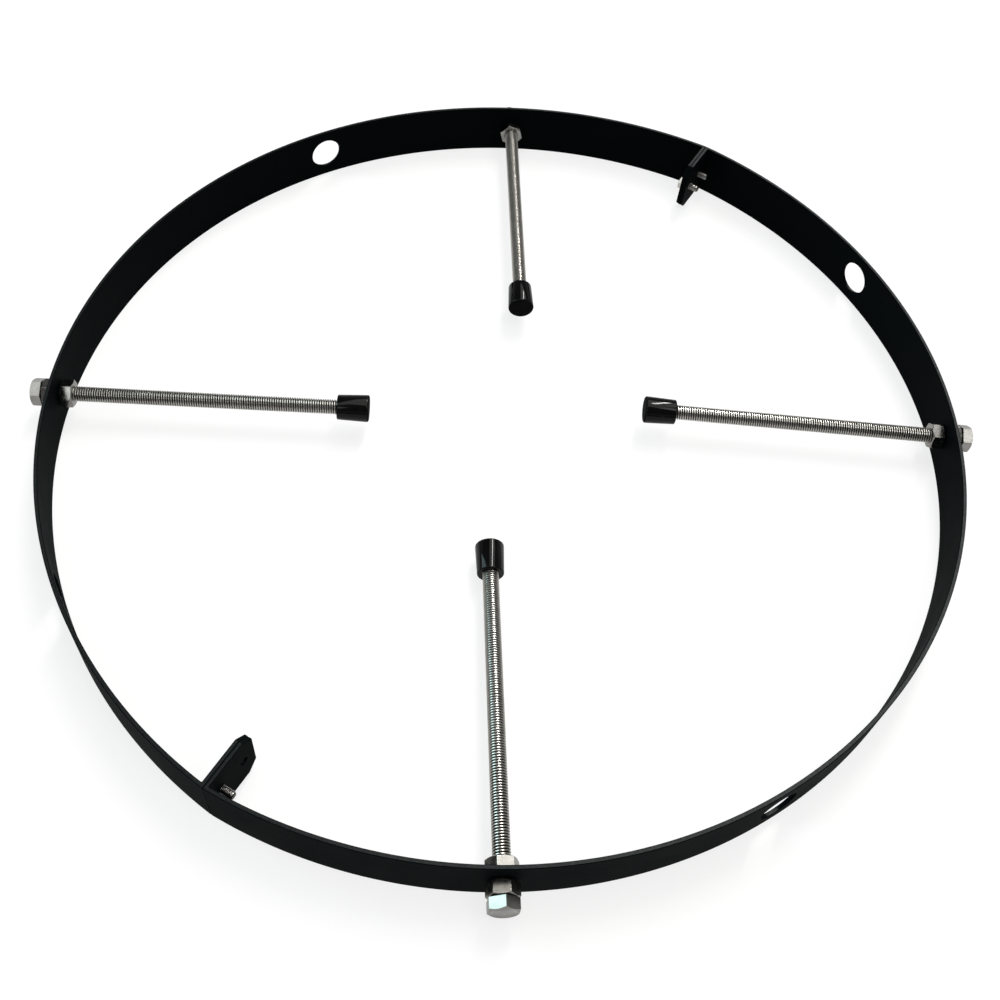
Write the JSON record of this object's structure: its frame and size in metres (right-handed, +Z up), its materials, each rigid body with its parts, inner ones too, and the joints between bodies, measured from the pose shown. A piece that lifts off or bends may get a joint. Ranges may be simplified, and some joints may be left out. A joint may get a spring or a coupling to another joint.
{
  "type": "split clamping hoop",
  "caption": "Bolted two-part flat-steel hoop with inward clamping bolts, nuts and soft caps.",
  "frame": {"origin": "the hoop's centre, on the plane that its lower rim rests on", "axes": "+Z up along the hoop's axis, +X to the right-hand bolt, +Y to the rear bolt"},
  "size_m": [0.5038, 0.5131, 0.032],
  "materials": {
    "black_coat": "satin powder coat",
    "zinc": "bright zinc plate",
    "black_vinyl": "glossy soft vinyl"
  },
  "bodies": {
    "frame": {"left_half_hoop": "black_coat", "right_half_hoop": "black_coat", "rear_joint_inner_screw": "zinc", "rear_joint_outer_screw": "zinc", "front_joint_outer_screw": "zinc"},
    "rear_cap": {"rear_cap": "black_vinyl"},
    "rear_bolt": {"rear_bolt": "zinc"},
    "rear_outer_nut": {"rear_outer_nut": "zinc"},
    "rear_inner_nut": {"rear_inner_nut": "zinc"},
    "left_cap": {"left_cap": "black_vinyl"},
    "left_bolt": {"left_bolt": "zinc"},
    "left_outer_nut": {"left_outer_nut": "zinc"},
    "left_inner_nut": {"left_inner_nut": "zinc"},
    "front_cap": {"front_cap": "black_vinyl"},
    "front_bolt": {"front_bolt": "zinc"},
    "front_outer_nut": {"front_outer_nut": "zinc"},
    "front_inner_nut": {"front_inner_nut": "zinc"},
    "right_cap": {"right_cap": "black_vinyl"},
    "right_bolt": {"right_bolt": "zinc"},
    "right_outer_nut": {"right_outer_nut": "zinc"},
    "right_inner_nut": {"right_inner_nut": "zinc"}
  },
  "joints": [
    {"name": "rear_travel", "type": "slide", "parent": "frame", "child": "rear_cap", "axis": [-0.0436, 0.999, 0], "range_m": [-0.0004, 0.1386]},
    {"name": "rear_bolt_turn", "type": "hinge", "parent": "rear_cap", "child": "rear_bolt", "pos_m": [-0.0001, 0.24358, 0.016], "axis": [-0.0436, 0.999, 0], "range_deg": [-115.22, 39916.82]},
    {"name": "rear_outer_nut_turn", "type": "hinge", "parent": "frame", "child": "rear_outer_nut", "pos_m": [-0.0001, 0.24358, 0.016], "axis": [-0.0436, 0.999, 0], "range_deg": [0, 130]},
    {"name": "rear_inner_nut_turn", "type": "hinge", "parent": "frame", "child": "rear_inner_nut", "pos_m": [-0.0001, 0.24358, 0.016], "axis": [-0.0436, 0.999, 0], "range_deg": [-90, 0]},
    {"name": "left_travel", "type": "slide", "parent": "frame", "child": "left_cap", "axis": [-1, -0.007, 0], "range_m": [-0.0004, 0.1386]},
    {"name": "left_bolt_turn", "type": "hinge", "parent": "left_cap", "child": "left_bolt", "pos_m": [-0.23904, -0.00213, 0.016], "axis": [-1, -0.007, 0], "range_deg": [-115.22, 39916.82]},
    {"name": "left_outer_nut_turn", "type": "hinge", "parent": "frame", "child": "left_outer_nut", "pos_m": [-0.23904, -0.00213, 0.016], "axis": [-1, -0.007, 0], "range_deg": [0, 130]},
    {"name": "left_inner_nut_turn", "type": "hinge", "parent": "frame", "child": "left_inner_nut", "pos_m": [-0.23904, -0.00213, 0.016], "axis": [-1, -0.007, 0], "range_deg": [-90, 0]},
    {"name": "front_travel", "type": "slide", "parent": "frame", "child": "front_cap", "axis": [0.0488, -0.9982, 0.0349], "range_m": [-0.0004, 0.1386]},
    {"name": "front_bolt_turn", "type": "hinge", "parent": "front_cap", "child": "front_bolt", "pos_m": [0.0001, -0.24358, 0.016], "axis": [0.0488, -0.9982, 0.0349], "range_deg": [-115.22, 39916.82]},
    {"name": "front_outer_nut_turn", "type": "hinge", "parent": "frame", "child": "front_outer_nut", "pos_m": [0.0001, -0.24358, 0.016], "axis": [0.0488, -0.9982, 0.0349], "range_deg": [0, 130]},
    {"name": "front_inner_nut_turn", "type": "hinge", "parent": "frame", "child": "front_inner_nut", "pos_m": [0.0001, -0.24358, 0.016], "axis": [0.0488, -0.9982, 0.0349], "range_deg": [-90, 0]},
    {"name": "right_travel", "type": "slide", "parent": "frame", "child": "right_cap", "axis": [0.999, -0.0436, 0], "range_m": [-0.0004, 0.1386]},
    {"name": "right_bolt_turn", "type": "hinge", "parent": "right_cap", "child": "right_bolt", "pos_m": [0.23904, 0.00213, 0.016], "axis": [0.999, -0.0436, 0], "range_deg": [-115.22, 39916.82]},
    {"name": "right_outer_nut_turn", "type": "hinge", "parent": "frame", "child": "right_outer_nut", "pos_m": [0.23904, 0.00213, 0.016], "axis": [0.999, -0.0436, 0], "range_deg": [0, 130]},
    {"name": "right_inner_nut_turn", "type": "hinge", "parent": "frame", "child": "right_inner_nut", "pos_m": [0.23904, 0.00213, 0.016], "axis": [0.999, -0.0436, 0], "range_deg": [-90, 0]}
  ],
  "couplings": [
    {"joint": "rear_bolt_turn", "follows": "rear_travel", "rad_per_m": 5026.5},
    {"joint": "left_bolt_turn", "follows": "left_travel", "rad_per_m": 5026.5},
    {"joint": "front_bolt_turn", "follows": "front_travel", "rad_per_m": 5026.5},
    {"joint": "right_bolt_turn", "follows": "right_travel", "rad_per_m": 5026.5}
  ]
}
